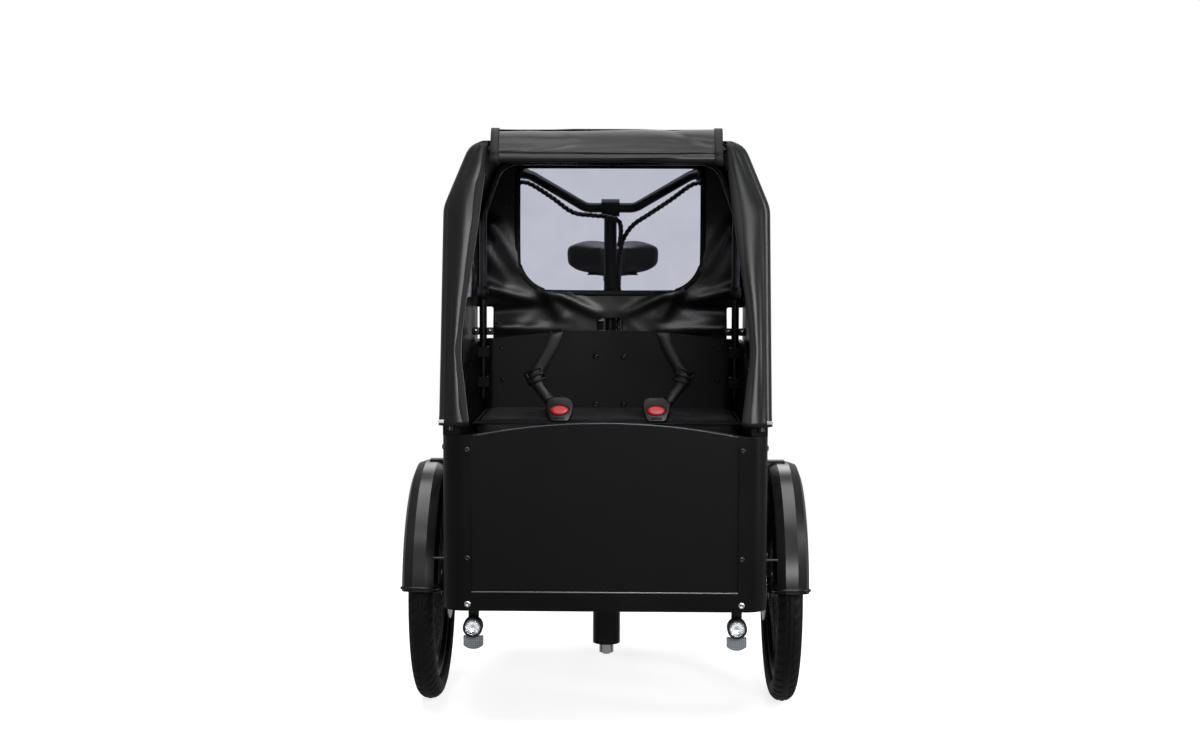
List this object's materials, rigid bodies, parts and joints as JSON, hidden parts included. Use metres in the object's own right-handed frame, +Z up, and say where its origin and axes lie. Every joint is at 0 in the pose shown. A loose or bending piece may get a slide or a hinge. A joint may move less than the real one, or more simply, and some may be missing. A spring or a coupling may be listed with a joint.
{
  "type": "electric cargo bike",
  "caption": "Three-wheeled electric cargo bike with a passenger box between the front wheels, a bench, a rain canopy with a rolled-up front and a steering box that turns with the handlebar.",
  "frame": {"origin": "middle of the bounding box on the floor", "axes": "+Y towards the rear wheel, so the front faces -Y, +Z up, +X to the rider's left"},
  "size_m": [0.892, 2.12, 1.256],
  "materials": {
    "tyre_rubber": "satin",
    "rim_black": "satin",
    "hub_metal": "satin",
    "disc_steel": "brushed",
    "motor_black": "satin",
    "sprocket_steel": "satin",
    "frame_black": "satin",
    "bright_steel": "polished",
    "post_metal": "satin",
    "saddle_cover": "satin",
    "battery_case": "matte",
    "guard_plastic": "satin",
    "rear_light": "gloss",
    "chain_steel": "satin",
    "pedal_plastic": "matte",
    "panel_black": "matte film-faced board",
    "profile_black": "satin black",
    "cushion_cover": "matte",
    "caliper_black": "satin",
    "lamp_black": "satin",
    "lamp_lens": "clear",
    "reflector": "prismatic",
    "grip_rubber": "matte",
    "cable_black": "satin",
    "hoop_black": "satin",
    "canopy_cloth": "coated, slight sheen",
    "window_film": "clear film",
    "webbing": "woven",
    "buckle_plastic": "satin"
  },
  "bodies": {
    "rear_frame": {"frame": "frame_black", "chain_stays": "frame_black", "seat_stays": "frame_black", "rear_axle": "bright_steel", "carrier": "frame_black", "battery": "battery_case", "rear_mudguard": "guard_plastic", "rear_lamp": "rear_light", "chain": "chain_steel", "chain_guard": "frame_black"},
    "seat": {"seat_post": "post_metal", "saddle": "saddle_cover", "saddle_springs": "frame_black"},
    "wheel_rear": {"rear_tyre": "tyre_rubber", "rear_rim": "rim_black", "rear_hub_motor": "motor_black", "rear_sprocket": "sprocket_steel"},
    "crank": {"crankset": "frame_black"},
    "pedal_left": {"pedal_left": "pedal_plastic"},
    "pedal_right": {"pedal_right": "pedal_plastic"},
    "cargo_box": {"subframe": "frame_black", "kingpin": "bright_steel", "box_floor": "panel_black", "box_front": "panel_black", "box_sides": "panel_black", "box_back": "panel_black", "corner_posts": "profile_black", "bottom_rails": "profile_black", "bench": "panel_black", "cushion": "cushion_cover", "front_mudguards": "guard_plastic", "brake_calipers": "caliper_black", "headlamps": "lamp_black", "lamp_lenses": "lamp_lens", "reflectors": "reflector", "handlebar_post": "frame_black", "handlebar": "frame_black", "grips": "grip_rubber", "bar_fittings": "lamp_black", "cables": "cable_black", "canopy_hoops": "hoop_black", "hoop_feet": "hoop_black", "canopy_roof": "canopy_cloth", "canopy_sides": "canopy_cloth", "canopy_back": "canopy_cloth", "canopy_wings": "canopy_cloth", "canopy_roll": "canopy_cloth", "windows": "window_film", "harness_straps": "webbing", "harness_buckles": "buckle_plastic", "brake_lever_left": "caliper_black", "brake_lever_right": "caliper_black"},
    "wheel_front_left": {"front_tyre_left": "tyre_rubber", "front_rim_left": "rim_black", "front_hub_left": "hub_metal", "front_disc_left": "disc_steel"},
    "wheel_front_right": {"front_tyre_right": "tyre_rubber", "front_rim_right": "rim_black", "front_hub_right": "hub_metal", "front_disc_right": "disc_steel"}
  },
  "joints": [
    {"name": "steering", "type": "hinge", "parent": "rear_frame", "child": "cargo_box", "pos_m": [0, -0.67, 0.18], "axis": [0, 0, 1], "range_deg": [-40, 40]},
    {"name": "front_left_spin", "type": "hinge", "parent": "cargo_box", "child": "wheel_front_left", "pos_m": [0.391, -0.67, 0.258], "axis": [1, 0, 0], "continuous": true},
    {"name": "front_right_spin", "type": "hinge", "parent": "cargo_box", "child": "wheel_front_right", "pos_m": [-0.391, -0.67, 0.258], "axis": [1, 0, 0], "continuous": true},
    {"name": "rear_spin", "type": "hinge", "parent": "rear_frame", "child": "wheel_rear", "pos_m": [0, 0.714, 0.327], "axis": [1, 0, 0], "continuous": true},
    {"name": "crank_spin", "type": "hinge", "parent": "rear_frame", "child": "crank", "pos_m": [0, 0.244, 0.29], "axis": [1, 0, 0], "continuous": true},
    {"name": "pedal_left_spin", "type": "hinge", "parent": "crank", "child": "pedal_left", "pos_m": [0.136, 0.074, 0.29], "axis": [1, 0, 0], "continuous": true},
    {"name": "pedal_right_spin", "type": "hinge", "parent": "crank", "child": "pedal_right", "pos_m": [-0.136, 0.414, 0.29], "axis": [1, 0, 0], "continuous": true},
    {"name": "seat_height", "type": "slide", "parent": "rear_frame", "child": "seat", "axis": [0, 0.342, 0.9397], "range_m": [-0.06, 0.04]}
  ]
}
